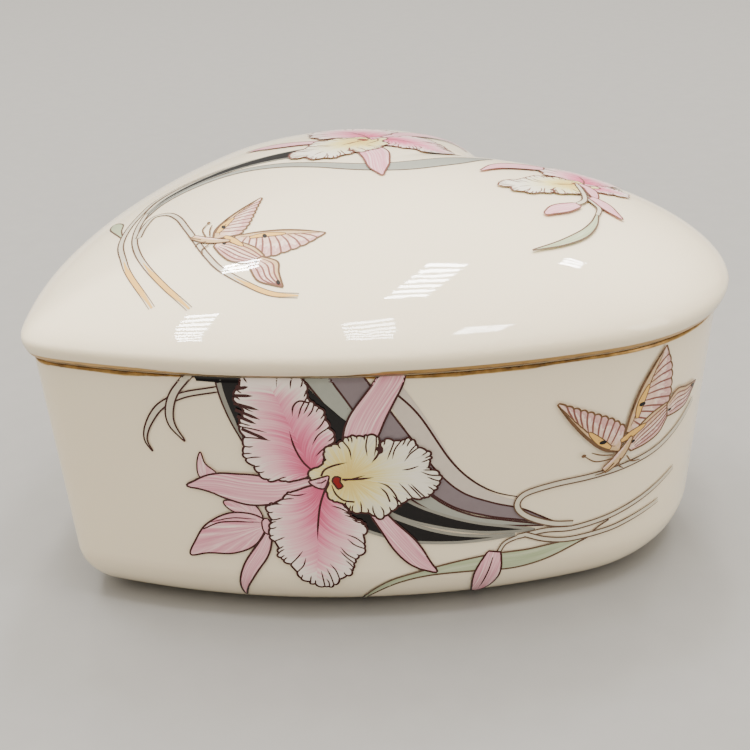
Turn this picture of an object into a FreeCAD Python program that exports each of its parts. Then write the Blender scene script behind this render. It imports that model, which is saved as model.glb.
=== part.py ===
import FreeCAD, Part
import math
import os

import Sketcher

# A heart-shaped porcelain trinket box: a hollow base and a puffed lid that lifts off.
# Frame: the foot stands on z = 0, the heart's tip points along -Y, its cleft along +Y,
# and the origin is under the middle of the lid's outline, which is the widest part.

DIMENSIONS = [
    # The heart's outline at the rim, as six tangent arcs: two lobes, two long sides, tip, cleft.
    ("lobe_radius", 28.5, "arc of each lobe"),
    ("lobe_offset", 25.5, "centre of a lobe from the middle line"),
    ("lobe_forward", 21.1, "centre of a lobe from the origin, along Y"),
    ("side_offset", 57.3, "centre of a long side's arc from the middle line"),
    ("side_forward", 51.0, "centre of a long side's arc from the origin, along Y"),
    ("tip_radius", 5.5, "arc at the heart's point"),
    ("cleft_radius", 4.0, "hollow arc between the lobes"),
    ("least_tip_radius", 3.0, "sharpest arc at the point of any inner or lower outline"),
    # The base.
    ("seam_height", 41.3, "table to the base's rim"),
    ("draft", 2.6, "how far the foot of the wall stands inside the rim"),
    ("foot_round", 9.0, "radius where the wall turns under"),
    ("wall_thickness", 3.4, "base wall"),
    ("floor_thickness", 4.2, "table to the inside floor"),
    ("floor_round", 6.0, "radius where the inside wall meets the floor"),
    ("foot_width", 2.4, "unglazed ring that the box stands on"),
    ("foot_depth", 0.9, "recess inside the foot ring"),
    ("rim_round", 0.8, "outer edge of the rim"),
    ("inner_rim_round", 0.5, "inner edge of the rim"),
    # The lid.
    ("seat_gap", 0.05, "glaze-to-glaze gap between lid and rim"),
    ("seat_inset", 0.3, "start of the lid's rolled edge, inside the rim's outline"),
    ("overhang", 1.5, "lid outline outside the rim's outline"),
    ("edge_rise", 2.7, "seat to the lid's widest line"),
    ("crown_rise", 13.4, "widest line to the crown"),
    ("crown_lean", 0.22, "share by which the crown rises towards the lobes, per 50 mm"),
    ("lid_thickness", 3.3, "lid wall at the crown"),
    ("mouth_inset", 6.1, "mouth of the lid's hollow, inside the rim's outline"),
    ("shoulder_inset", 2.4, "widest line of the lid's hollow, inside the rim's outline"),
    ("shoulder_rise", 3.7, "seat to the widest line of the lid's hollow"),
    ("flange_clearance", 0.9, "all-round play of the flange inside the base"),
    ("flange_width", 2.3, "locating flange, across"),
    ("flange_drop", 3.4, "locating flange, below the seat"),
    ("flange_root", 0.8, "locating flange, up inside the lid"),
    ("flange_taper", 0.3, "narrowing of the flange's outside towards its foot"),
    # The oval that the heart's rings soften into on the way up to the crown.
    ("oval_width", 49.5, "half width"),
    ("oval_length", 39.9, "half length"),
    ("oval_forward", 8.1, "centre along Y"),
    # Gilding, drawn as a thin inlay flush with the glaze.
    ("gilt_depth", 0.12, "depth of both gilt lines"),
    ("box_gilt_low", 0.9, "lower edge of the base's gilt line, below the rim"),
    ("box_gilt_high", 0.2, "upper edge of the base's gilt line, below the rim"),
    ("lid_gilt_low", 0.2, "lower edge of the lid's gilt line, above the rim"),
    ("lid_gilt_high", 1.15, "upper edge of the lid's gilt line, above the rim"),
]

CROWN_FULLNESS = 0.65   # smaller: a flatter crown with a steeper shoulder
CROWN_SPREAD = 2.2      # larger: a broader flat top
OVAL_BLEND = 1.68       # larger: the heart shape lasts further up the lid
RING_POINTS = 72        # points on each ring of the lid
ROLL_STEPS = 4          # rings in the lid's rolled edge
CROWN_STEPS = 14        # rings from the widest line to the crown
ROUND_STEPS = 5         # steps through each 90 degree round of the base
LEAN_SPAN = 50.0        # length over which crown_lean is stated
SLAB_REACH = 80.0       # half size of the flat slabs that bound the gilt lines
RIM_TURN = (0, 25, 50, 70)  # degrees round the rim's outer edge, in the gilt line's core
LEVEL = 1e-4            # how exactly an edge has to lie in the rim's plane

doc = FreeCAD.newDocument("HeartTrinketBox")
sheet = doc.addObject("Spreadsheet::Sheet", "Dimensions")
for row, (alias, size, meaning) in enumerate(DIMENSIONS, start=1):
    sheet.set(f"A{row}", alias)
    sheet.set(f"B{row}", str(size))
    sheet.set(f"C{row}", meaning)
    sheet.setAlias(f"B{row}", alias)
doc.recompute()

SIZE = {alias: float(size) for alias, size, _ in DIMENSIONS}


def cell(alias):
    return f"Dimensions.{alias}"


def value(expression):
    return float(sheet.evalExpression(expression))


# ---------------------------------------------------------------- the heart outline


def heart_arcs(inset, tip_radius):
    """The arcs of half a heart, from the cleft to the point: (centre, radius, start, end)."""
    lobe = FreeCAD.Vector(SIZE["lobe_offset"], SIZE["lobe_forward"], 0)
    side = FreeCAD.Vector(-SIZE["side_offset"], SIZE["side_forward"], 0)
    lobe_radius = SIZE["lobe_radius"] - inset
    cleft_radius = SIZE["cleft_radius"] + inset
    side_radius = side.distanceToPoint(lobe) + lobe_radius
    cleft_rise = math.sqrt((lobe_radius + cleft_radius) ** 2 - lobe.x**2)
    cleft = FreeCAD.Vector(0, lobe.y + cleft_rise, 0)
    tip_drop = math.sqrt((side_radius - tip_radius) ** 2 - side.x**2)
    tip = FreeCAD.Vector(0, side.y - tip_drop, 0)

    def bearing(start, end):
        return math.atan2(end.y - start.y, end.x - start.x)

    return [
        (cleft, cleft_radius, -math.pi / 2, bearing(cleft, lobe)),
        (lobe, lobe_radius, bearing(lobe, cleft), bearing(side, lobe)),
        (side, side_radius, bearing(side, lobe), bearing(side, tip)),
        (tip, tip_radius, bearing(side, tip), -math.pi / 2),
    ]


def heart_ring(inset, count):
    """Points evenly spaced round a heart outline, from the cleft by way of +X."""
    arcs = heart_arcs(inset, max(SIZE["tip_radius"] - inset, SIZE["least_tip_radius"]))
    lengths = [radius * abs(end - start) for _, radius, start, end in arcs]
    half = []
    for step in range(count // 2 + 1):
        along = sum(lengths) * step / (count // 2)
        index = 0
        while index < len(arcs) - 1 and along > lengths[index]:
            along -= lengths[index]
            index += 1
        centre, radius, start, end = arcs[index]
        angle = start + (end - start) * along / lengths[index]
        half.append((centre.x + radius * math.cos(angle), centre.y + radius * math.sin(angle)))
    return half + [(-x, y) for x, y in reversed(half[1:-1])]


def heart_sketch(body, name, height, inset):
    """A heart outline in a body's XY plane; height and inset are expressions."""
    plane = next(f for f in body.Origin.OriginFeatures if f.Role == "XY_Plane")
    sketch = body.newObject("Sketcher::SketchObject", name)
    sketch.AttachmentSupport = (plane, "")
    sketch.MapMode = "FlatFace"
    sketch.setExpression("AttachmentOffset.Base.z", height)
    tip_size = f"max({cell('tip_radius')} - ({inset}); {cell('least_tip_radius')})"
    cleft, lobe, side, tip = heart_arcs(value(inset), value(tip_size))
    up = FreeCAD.Vector(0, 0, 1)

    def arc(centre, radius, start, end):
        return Part.ArcOfCircle(Part.Circle(centre, up, radius), start, end)

    def across(centre):
        return FreeCAD.Vector(-centre.x, centre.y, 0)

    # Arcs in order round the outline, each drawn anticlockwise about its own centre:
    # right lobe, cleft, left lobe, left side, tip, right side.
    sketch.addGeometry(
        [
            arc(lobe[0], lobe[1], lobe[3], lobe[2]),
            arc(cleft[0], cleft[1], math.pi - cleft[3], 2 * math.pi + cleft[3]),
            arc(across(lobe[0]), lobe[1], math.pi - lobe[2], math.pi - lobe[3]),
            arc(across(side[0]), side[1], math.pi - side[2], math.pi - side[3]),
            arc(tip[0], tip[1], math.pi - tip[2], 2 * math.pi + tip[2]),
            arc(side[0], side[1], side[3], side[2]),
        ],
        False,
    )
    right_lobe, hollow, left_lobe, left_side, point, right_side = range(6)
    start, end, centre = 1, 2, 3
    origin, y_axis = -1, -2
    sketch.addConstraint(
        [
            Sketcher.Constraint("Tangent", right_lobe, end, hollow, end),
            Sketcher.Constraint("Tangent", hollow, start, left_lobe, start),
            Sketcher.Constraint("Tangent", left_lobe, end, left_side, start),
            Sketcher.Constraint("Tangent", left_side, end, point, start),
            Sketcher.Constraint("Tangent", point, end, right_side, start),
            Sketcher.Constraint("Tangent", right_side, end, right_lobe, start),
            Sketcher.Constraint("Symmetric", right_lobe, centre, left_lobe, centre, y_axis),
            Sketcher.Constraint("Symmetric", right_side, centre, left_side, centre, y_axis),
            Sketcher.Constraint("Equal", right_lobe, left_lobe),
        ]
    )
    sizes = [
        ("lobe_radius", "Radius", (right_lobe,), f"{cell('lobe_radius')} - ({inset})"),
        ("cleft_radius", "Radius", (hollow,), f"{cell('cleft_radius')} + ({inset})"),
        ("tip_radius", "Radius", (point,), tip_size),
        ("lobe_offset", "DistanceX", (origin, start, right_lobe, centre), cell("lobe_offset")),
        ("lobe_forward", "DistanceY", (origin, start, right_lobe, centre), cell("lobe_forward")),
        ("side_offset", "DistanceX", (right_side, centre, origin, start), cell("side_offset")),
        ("side_forward", "DistanceY", (origin, start, right_side, centre), cell("side_forward")),
    ]
    for label, kind, picks, expression in sizes:
        index = sketch.addConstraint(Sketcher.Constraint(kind, *picks, value(expression)))
        sketch.renameConstraint(index, label)
        sketch.setExpression(f"Constraints.{label}", expression)
    return sketch


# ------------------------------------------------------------------------ the base


def face_edges(shape, height, outermost):
    """Names of the edges lying at a height, on the outline or on the inner opening."""
    level = [
        (f"Edge{i}", edge)
        for i, edge in enumerate(shape.Edges, start=1)
        if max(abs(edge.BoundBox.ZMin - height), abs(edge.BoundBox.ZMax - height)) < LEVEL
    ]
    rim = [face for face in shape.Faces if face.BoundBox.ZLength < LEVEL
           and abs(face.BoundBox.ZMin - height) < LEVEL]
    outer = [edge for face in rim for edge in face.OuterWire.Edges]
    return [name for name, edge in level if any(edge.isSame(o) for o in outer) == outermost]


def loft(body, kind, name, sketches, ruled=False):
    feature = body.newObject(f"PartDesign::{kind}Loft", name)
    feature.Profile = sketches[0]
    feature.Sections = sketches[1:]
    feature.Ruled = ruled
    doc.recompute()
    return feature


def round_sections(body, name, lift, thickness, rounding):
    """Outlines through the round where a wall turns under, from the lowest to the wall.

    lift is the height of the lowest outline, thickness how far the wall's face stands
    inside the base's outside, and rounding the radius of the turn.
    """
    sections = []
    for step in range(ROUND_STEPS + 1):
        angle = f"{90 * step / ROUND_STEPS:g} deg"
        height = f"{lift} + {rounding} * (1 - cos({angle}))"
        lean = f"{cell('draft')} * (1 - ({height}) / {cell('seam_height')})"
        inset = f"{thickness} + {lean} + {rounding} * (1 - sin({angle}))"
        sections.append(heart_sketch(body, f"{name}_{step}", height, inset))
    return sections


def box_blank():
    """The whole base as cast, with its cavity, foot ring and rounded rim."""
    body = doc.addObject("PartDesign::Body", "box_blank")
    rim = cell("seam_height")
    turn = round_sections(body, "turn", "0", "0", cell("foot_round"))
    loft(body, "Additive", "foot", turn)
    shell = loft(body, "Additive", "wall", [turn[-1], heart_sketch(body, "rim", rim, "0")], True)

    wall = cell("wall_thickness")
    floor = round_sections(body, "floor", cell("floor_thickness"), wall, cell("floor_round"))
    loft(body, "Subtractive", "cavity_floor", floor)
    mouth = heart_sketch(body, "mouth", rim, wall)
    cavity = loft(body, "Subtractive", "cavity", [floor[-1], mouth], True)

    under = f"{cell('draft')} + {cell('foot_round')} + {cell('foot_width')}"
    recess = body.newObject("PartDesign::Pocket", "foot_recess")
    recess.Profile = heart_sketch(body, "foot_ring", "0", under)
    recess.setExpression("Length", cell("foot_depth"))
    recess.Reversed = True
    doc.recompute()
    if not shell.Shape.Volume > cavity.Shape.Volume > recess.Shape.Volume:
        raise RuntimeError("the cavity or the foot recess cuts nothing")

    for name, outermost in (("rim_round", True), ("inner_rim_round", False)):
        base = body.Tip
        fillet = body.newObject("PartDesign::Fillet", name)
        fillet.Base = (base, face_edges(base.Shape, SIZE["seam_height"], outermost))
        fillet.setExpression("Radius", cell(name))
        doc.recompute()
    return body


# ------------------------------------------------------------------------- the lid


def level_ring(inset, height):
    return [(x, y, height) for x, y in heart_ring(inset, RING_POINTS)]


def rolled_edge(depth):
    """Rings of the lid's rolled edge, from its seat up to just below its widest line.

    depth moves them all inwards.
    """
    low = SIZE["seam_height"] + SIZE["seat_gap"]
    reach = SIZE["overhang"] + SIZE["seat_inset"]
    rings = []
    for step in range(ROLL_STEPS):
        angle = math.pi / 2 * step / ROLL_STEPS
        inset = SIZE["seat_inset"] - reach * math.sin(angle) + depth
        rings.append(level_ring(inset, low + SIZE["edge_rise"] * (1 - math.cos(angle))))
    return rings


def flared_mouth(low, rise):
    """Rings of the lid's hollow, from its mouth out to its shoulder."""
    rings = []
    for step in range(ROLL_STEPS):
        share = step / ROLL_STEPS
        inset = SIZE["mouth_inset"] + (SIZE["shoulder_inset"] - SIZE["mouth_inset"]) * share
        rings.append(level_ring(inset, low + rise * share))
    return rings


def crown_rings(inset, low, rise):
    """Rings of a puffed crown that starts upright on a heart, and the point it ends in.

    Going in, the rings soften from the heart into an oval. The height follows the share
    of the way out from the oval's centre, and leans up towards the lobes.
    """
    middle = SIZE["oval_forward"]
    outline = heart_ring(inset, RING_POINTS)
    turn = 2 * math.pi / RING_POINTS
    rings = []
    for step in range(CROWN_STEPS):
        out = math.cos(math.pi / 2 * step / CROWN_STEPS)
        soft = (1 - out) ** OVAL_BLEND
        climb = rise * (1 - out**CROWN_SPREAD) ** CROWN_FULLNESS
        ring = []
        for i, (heart_x, heart_y) in enumerate(outline):
            oval_x = SIZE["oval_width"] * math.sin(turn * i)
            oval_y = middle + SIZE["oval_length"] * math.cos(turn * i)
            x = out * (heart_x + soft * (oval_x - heart_x))
            y = middle + out * (heart_y + soft * (oval_y - heart_y) - middle)
            lean = SIZE["crown_lean"] * (y - middle) / LEAN_SPAN
            ring.append((x, y, low + climb * (1 + lean)))
        rings.append(ring)
    return rings, (0, middle, low + rise)


def ring_solid(name, rings, crown=None):
    """A closed solid through smooth rings, with a flat bottom and a flat or pointed top."""
    profiles = []
    for ring in rings:
        curve = Part.BSplineCurve()
        curve.interpolate(Points=[FreeCAD.Vector(*point) for point in ring], PeriodicFlag=True)
        profiles.append(Part.Wire(curve.toShape()))
    if crown:
        profiles.append(Part.Vertex(*crown))
    feature = doc.addObject("Part::Feature", name)
    feature.Shape = Part.makeLoft(profiles, True, False)
    feature.Placement = FreeCAD.Placement()
    return feature


def boolean(kind, name, base, tool):
    feature = doc.addObject(f"Part::{kind}", name)
    feature.Base = base
    feature.Tool = tool
    doc.recompute()
    return feature


def lid_flange():
    """The ring under the lid that keeps it from sliding off, narrowing downwards."""
    body = doc.addObject("PartDesign::Body", "lid_flange")
    low = f"{cell('seam_height')} - {cell('flange_drop')}"
    high = f"{cell('seam_height')} + {cell('flange_root')}"
    outside = f"{cell('wall_thickness')} + {cell('flange_clearance')}"
    inside = f"{outside} + {cell('flange_width')}"
    foot = heart_sketch(body, "flange_foot", low, f"{outside} + {cell('flange_taper')}")
    root = heart_sketch(body, "flange_root", high, outside)
    solid = loft(body, "Additive", "flange", [foot, root], True)
    bore = [
        heart_sketch(body, "flange_bore_foot", low, inside),
        heart_sketch(body, "flange_bore_root", high, inside),
    ]
    ring = loft(body, "Subtractive", "flange_bore", bore, True)
    if not solid.Shape.Volume > ring.Shape.Volume:
        raise RuntimeError("the flange's bore cuts nothing")
    return body


def lid_blank():
    """The whole lid as cast: puffed outside, hollow underside and locating flange."""
    seat = SIZE["seam_height"] + SIZE["seat_gap"]
    widest = seat + SIZE["edge_rise"]
    crown, peak = crown_rings(-SIZE["overhang"], widest, SIZE["crown_rise"])
    outside = ring_solid("lid_outside", rolled_edge(0) + crown, peak)
    shoulder = seat + SIZE["shoulder_rise"]
    rise = widest + SIZE["crown_rise"] - SIZE["lid_thickness"] - shoulder
    roof, inner_peak = crown_rings(SIZE["shoulder_inset"], shoulder, rise)
    hollow = ring_solid("lid_hollow", flared_mouth(seat, SIZE["shoulder_rise"]) + roof, inner_peak)
    shell = boolean("Cut", "lid_shell", outside, hollow)
    return boolean("Fuse", "lid_blank", shell, lid_flange())


# -------------------------------------------------------------------- the gilt lines


def box_gilt_core():
    """The base's outside near the rim, shrunk by the depth of the gilding."""
    body = doc.addObject("PartDesign::Body", "box_gilt_core")
    rim, depth = cell("seam_height"), cell("gilt_depth")
    spring = f"{rim} - {cell('rim_round')}"
    turn = f"({cell('rim_round')} - {depth})"

    def outline(label, height, round_inset):
        inset = f"{depth} + {cell('draft')} * (1 - ({height}) / {rim}) + {round_inset}"
        return heart_sketch(body, f"core_{label}", height, inset)

    outlines = [outline("low", f"{rim} - 2 * {cell('box_gilt_low')}", "0")]
    for degrees in RIM_TURN:
        height = f"{spring} + {turn} * sin({degrees} deg)"
        outlines.append(outline(f"turn_{degrees}", height, f"{turn} * (1 - cos({degrees} deg))"))
    loft(body, "Additive", "core_block", outlines, True)
    return body


def lid_gilt_core():
    """The lid's rolled edge, shrunk by the depth of the gilding."""
    depth = SIZE["gilt_depth"]
    widest = SIZE["seam_height"] + SIZE["seat_gap"] + SIZE["edge_rise"]
    rings = rolled_edge(depth) + [level_ring(depth - SIZE["overhang"], widest)]
    return ring_solid("lid_gilt_core", rings)


def gilt_zone(name, low, high, core):
    """Everything outside a core between two heights, which are expressions."""
    slab = doc.addObject("Part::Box", f"{name}_slab")
    slab.Length = slab.Width = 2 * SLAB_REACH
    slab.setExpression("Height", f"{high} - ({low})")
    slab.Placement = FreeCAD.Placement(
        FreeCAD.Vector(-SLAB_REACH, -SLAB_REACH, 0), FreeCAD.Rotation()
    )
    slab.setExpression("Placement.Base.z", low)
    doc.recompute()
    return boolean("Cut", f"{name}_zone", slab, core)


def part_from(kind, label, blank, zone):
    """One handed-in piece: a blank without its gilding, or the gilding alone."""
    piece = boolean(kind, label, blank, zone)
    piece.Label = label
    piece.Placement = FreeCAD.Placement()
    return piece


rim_height = cell("seam_height")
base = box_blank()
base_zone = gilt_zone(
    "box_gilt",
    f"{rim_height} - {cell('box_gilt_low')}",
    f"{rim_height} - {cell('box_gilt_high')}",
    box_gilt_core(),
)
cover = lid_blank()
cover_zone = gilt_zone(
    "lid_gilt",
    f"{rim_height} + {cell('lid_gilt_low')}",
    f"{rim_height} + {cell('lid_gilt_high')}",
    lid_gilt_core(),
)
pieces = [
    part_from("Cut", "box_body", base, base_zone),
    part_from("Common", "box_gilt_band", base, base_zone),
    part_from("Cut", "lid", cover, cover_zone),
    part_from("Common", "lid_gilt_band", cover, cover_zone),
]

doc.recompute()
for item in doc.Objects:
    if "Invalid" in item.State or "Error" in item.State:
        raise RuntimeError(f"{item.Label} failed: {item.State}")
    if item.isDerivedFrom("Sketcher::SketchObject") and not item.FullyConstrained:
        raise RuntimeError(f"{item.Label} is not fully constrained")
os.makedirs("parts", exist_ok=True)
for piece in pieces:
    shape = piece.Shape
    if shape.isNull() or not shape.isValid():
        raise RuntimeError(f"{piece.Label} has no valid shape")
    shape.exportStep(f"parts/{piece.Label}.step")
    box = shape.BoundBox
    print(piece.Label, len(shape.Solids), "solids", round(shape.Volume, 1), "mm3",
          round(box.ZMin, 2), "to", round(box.ZMax, 2))
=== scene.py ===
import math
import random

import bpy
import numpy as np
from mathutils import Matrix, Vector
from mathutils.bvhtree import BVHTree
from mathutils.geometry import delaunay_2d_cdt


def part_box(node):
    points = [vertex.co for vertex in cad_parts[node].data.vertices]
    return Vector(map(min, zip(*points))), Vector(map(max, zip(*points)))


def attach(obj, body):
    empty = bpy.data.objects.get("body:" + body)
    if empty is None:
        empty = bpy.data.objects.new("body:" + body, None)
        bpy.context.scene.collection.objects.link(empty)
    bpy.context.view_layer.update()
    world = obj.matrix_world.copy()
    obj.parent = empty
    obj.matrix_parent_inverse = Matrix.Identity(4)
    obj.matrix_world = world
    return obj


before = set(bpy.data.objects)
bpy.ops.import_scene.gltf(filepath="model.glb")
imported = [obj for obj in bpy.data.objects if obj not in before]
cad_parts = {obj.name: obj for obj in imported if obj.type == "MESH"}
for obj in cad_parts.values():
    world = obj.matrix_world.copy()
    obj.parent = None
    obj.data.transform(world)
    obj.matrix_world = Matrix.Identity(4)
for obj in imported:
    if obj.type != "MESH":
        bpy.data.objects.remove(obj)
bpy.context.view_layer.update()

MM = 0.001

# ---- node materials

GLAZE_INDEX = 1.5  # refractive index of the bare glaze
INK_GLAZE_INDEX = 1.36  # weaker over the inks, which stay dark where the room is bright


def srgb(red, green, blue):
    """A linear colour from 0-255 display values."""
    channels = [c / 255 for c in (red, green, blue)]
    linear = [c / 12.92 if c <= 0.04045 else ((c + 0.055) / 1.055) ** 2.4 for c in channels]
    return (*linear, 1.0)


class Paint:
    """A node material, with short calls for the nodes that this object's finishes use."""

    def __init__(self, name):
        self.material = bpy.data.materials.new(name)
        self.material.use_nodes = True
        self.tree = self.material.node_tree
        self.shader = self.tree.nodes["Principled BSDF"]

    def feed(self, socket, value):
        if isinstance(value, bpy.types.NodeSocket):
            self.tree.links.new(value, socket)
        else:
            socket.default_value = value

    def set(self, values):
        """Sets or links the shader's own inputs, by name."""
        for name, value in values.items():
            self.feed(self.shader.inputs[name], value)

    def node(self, kind, inputs):
        node = self.tree.nodes.new("ShaderNode" + kind)
        for name, value in inputs.items():
            self.feed(node.inputs[name], value)
        return node

    def coords(self):
        return self.node("TexCoord", {}).outputs["Object"]

    def split(self, vector):
        return self.node("SeparateXYZ", {0: vector}).outputs

    def art(self):
        """A decal's shading coordinates, as three numbers."""
        node = self.node("Attribute", {})
        node.attribute_name = "art"
        return self.split(node.outputs["Vector"])

    def math(self, operation, a, b=0.0):
        node = self.node("Math", {0: a, 1: b})
        node.operation = operation
        return node.outputs[0]

    def plus(self, a, b):
        return self.math("ADD", a, b)

    def minus(self, a, b):
        return self.math("SUBTRACT", a, b)

    def times(self, a, b):
        return self.math("MULTIPLY", a, b)

    def noise(self, vector, scale, detail=2.0, roughness=0.5):
        node = self.node("TexNoise", {"Vector": vector, "Scale": scale, "Detail": detail,
                                      "Roughness": roughness})
        return node.outputs["Fac"]

    def streaks(self, x, y, z=0.0, detail=2.0, roughness=0.5):
        """Noise over three numbers, each with its own scale."""
        vector = self.node("CombineXYZ", {0: x, 1: y, 2: z}).outputs[0]
        return self.noise(vector, 1.0, detail, roughness)

    def ramp(self, factor, *stops):
        """Colours or numbers along a factor; stops are (position, display colour or number)."""
        node = self.node("ValToRGB", {"Fac": factor})
        while len(node.color_ramp.elements) < len(stops):
            node.color_ramp.elements.new(0.5)
        for element, (position, colour) in zip(node.color_ramp.elements, stops):
            element.position = position
            element.color = srgb(*colour) if isinstance(colour, tuple) else (colour,) * 3 + (1,)
        return node.outputs["Color"]

    def mix(self, factor, a, b):
        node = self.node("Mix", {0: factor, 6: a, 7: b})
        node.data_type = "RGBA"
        return node.outputs[2]

    def bump(self, height, strength, distance):
        node = self.node("Bump", {"Height": height, "Strength": strength, "Distance": distance})
        self.set({"Normal": node.outputs["Normal"]})

    def glaze(self, index):
        """The clear glassy coat that covers body and print alike; nothing under it shines."""
        self.set({"Roughness": 0.6, "Specular IOR Level": 0.0, "Coat Weight": 1.0,
                  "Coat Roughness": 0.03, "Coat IOR": index})


# ---- camera and light

EYE_AZIMUTH = math.radians(53.5)  # 0 looks along +Y, 90 along -X
EYE_HEIGHT = math.radians(25.0)  # above the horizon
EYE_DISTANCE = 220.8  # mm from the aim to the lens
LENS, SENSOR = 58.8, 36.0  # mm, the focal length and the sensor's width
LOBES_Y = 21.1  # mm, the line through the centres of both lobes' arcs
AIM_RIGHT, AIM_UP = -11.4, 16.4  # mm from the middle of that line, on the table
CAMERA_ROLL = math.radians(-2.2)
CAMERA_SHIFT = (0.018, 0.001)  # shares of the sensor's width

FLOOR_SIZE = 4.0  # m
HORIZON = (0.30, 0.29, 0.27, 1)  # the room's light, low down
ZENITH = (3.4, 3.15, 2.75, 1)  # and overhead
SKY_RISE = (0.25, 0.95)  # sines of the elevations where it starts and ends its rise
CEILING = 1000.0  # mm, height of the ceiling lights above the table
TUBE_POWER = 0.6  # W, each tube
TUBE_SHARE = 0.55  # of its place in the row that a tube fills
CEILING_LIGHTS = (  # name, centre, (run of the row, length of a tube), tubes, in mm
    ("light_tip", (-310, -200), ((330, -340), 62), 8),
    ("light_middle", (75, -60), ((270, -190), 100), 6),
    ("light_far", (-280, 310), ((-190, 235), 80), 7),
    ("light_right", (345, 66), ((90, -90), 120), 4),
    ("light_corner", (-200, 650), ((-60, 100), 70), 3),
    ("light_left", (-815, 268), ((-90, 60), 60), 3),
)
SIDE_AIM = (0, 0, 25)  # mm, the middle of the box
SIDE_LIGHTS = (  # name, place and size in mm, power in W, tint
    ("side_left", (-250, -900, 420), (500, 500), 0.5, (1.0, 0.97, 0.92)),
    ("side_right", (900, 500, 420), (400, 500), 2.6, (1.0, 0.99, 0.93)),
)


def add_camera():
    lobes = Vector((0, LOBES_Y, 0))
    back = Vector((
        math.sin(EYE_AZIMUTH) * math.cos(EYE_HEIGHT),
        -math.cos(EYE_AZIMUTH) * math.cos(EYE_HEIGHT),
        math.sin(EYE_HEIGHT),
    ))
    level = Vector((math.cos(EYE_AZIMUTH), math.sin(EYE_AZIMUTH), 0))
    upright = back.cross(level)
    right = level * math.cos(CAMERA_ROLL) + upright * math.sin(CAMERA_ROLL)
    up = back.cross(right)
    eye = lobes + right * AIM_RIGHT + Vector((0, 0, AIM_UP)) + back * EYE_DISTANCE
    data = bpy.data.cameras.new("camera")
    data.lens = LENS
    data.sensor_width = SENSOR
    data.shift_x, data.shift_y = CAMERA_SHIFT
    data.clip_start = 0.01
    camera = bpy.data.objects.new("camera", data)
    bpy.context.scene.collection.objects.link(camera)
    axes = [[right[i], up[i], back[i], eye[i] * MM] for i in range(3)]
    camera.matrix_world = Matrix(axes + [[0, 0, 0, 1]])
    bpy.context.scene.camera = camera


def add_floor():
    bpy.ops.mesh.primitive_plane_add(size=FLOOR_SIZE)
    floor = bpy.context.object
    floor.name = "floor"
    paint = Paint("floor_paper")
    grain = paint.noise(paint.coords(), scale=180.0, detail=3.0)
    shade = paint.mix(grain, srgb(134, 133, 131), srgb(140, 139, 137))
    paint.set({"Base Color": shade, "Roughness": 0.75})
    floor.data.materials.append(paint.material)


def add_sky():
    world = bpy.data.worlds.new("studio")
    world.use_nodes = True
    nodes, links = world.node_tree.nodes, world.node_tree.links
    height = nodes.new("ShaderNodeSeparateXYZ")
    links.new(nodes.new("ShaderNodeTexCoord").outputs["Generated"], height.inputs[0])
    sky = nodes.new("ShaderNodeValToRGB")
    sky.color_ramp.interpolation = "EASE"
    for element, position, colour in zip(sky.color_ramp.elements, SKY_RISE, (HORIZON, ZENITH)):
        element.position, element.color = position, colour
    links.new(height.outputs["Z"], sky.inputs["Fac"])
    links.new(sky.outputs["Color"], nodes["Background"].inputs["Color"])
    bpy.context.scene.world = world


def add_softbox(name, place, aim, size, power, tint=(1.0, 1.0, 1.0)):
    """A rectangular lamp at a place in mm, facing a point in mm."""
    data = bpy.data.lights.new(name, "AREA")
    data.shape = "RECTANGLE"
    data.size, data.size_y = size[0] * MM, size[1] * MM
    data.energy = power
    data.color = tint
    lamp = bpy.data.objects.new(name, data)
    bpy.context.scene.collection.objects.link(lamp)
    lamp.location = Vector(place) * MM
    lamp.rotation_euler = (Vector(place) - Vector(aim)).to_track_quat("Z", "Y").to_euler()
    return lamp


def add_lights():
    for name, (x, y), (along, length), count in CEILING_LIGHTS:
        # Each ceiling light is a row of short tubes between its slats.
        size = (math.hypot(*along) / count * TUBE_SHARE, length)
        for k in range(count):
            share = (k + 0.5) / count - 0.5
            place = (x + along[0] * share, y + along[1] * share)
            tube = add_softbox(f"{name}_{k}", (*place, CEILING), (*place, 0), size, TUBE_POWER)
            tube.rotation_euler = (0, 0, math.atan2(along[1], along[0]))
    for name, place, size, power, tint in SIDE_LIGHTS:
        add_softbox(name, place, SIDE_AIM, size, power, tint)


# ---- flat curves, in mm

CURVE_GAP = 0.4  # between the points of a curve
FRILL_GAP = 0.15  # between the points of a frilled outline
FRILL_PITCHES = (0.5, 1.6)  # shares of the pitch, the range from one notch to the next
FRILL_HEIGHTS = (0.35, 1.3)  # shares of the depth, the range of the scallops
FRILL_WAVE = (4.2, 0.75)  # length in pitches and height in depths of a slower wave
FRILL_GROWTH = 3.0  # over which the scallops grow to their depth, beyond the calm


def smooth(points, closed=False, gap=CURVE_GAP):
    """A smooth curve through a few points, as points about a gap apart."""
    points = np.asarray(points, float)
    if len(points) == 2 and not closed:
        count = max(2, int(np.hypot(*(points[1] - points[0])) / gap) + 1)
        return points[0] + np.linspace(0, 1, count)[:, None] * (points[1] - points[0])
    if closed:
        knots = np.vstack([points[-1], points, points[0], points[1]])
    else:
        knots = np.vstack([2 * points[0] - points[1], points, 2 * points[-1] - points[-2]])
    out = []
    for before, start, end, after in zip(knots, knots[1:], knots[2:], knots[3:]):
        count = max(1, int(round(np.hypot(*(end - start)) / gap)))
        t = np.arange(count)[:, None] / count
        out.append(0.5 * (
            2 * start + (end - before) * t
            + (2 * before - 5 * start + 4 * end - after) * t**2
            + (3 * start - before - 3 * end + after) * t**3
        ))
    if not closed:
        out.append(knots[-2][None, :])
    return np.vstack(out)


def lengths_along(path):
    return np.concatenate([[0], np.cumsum(np.hypot(*np.diff(path, axis=0).T))])


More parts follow.
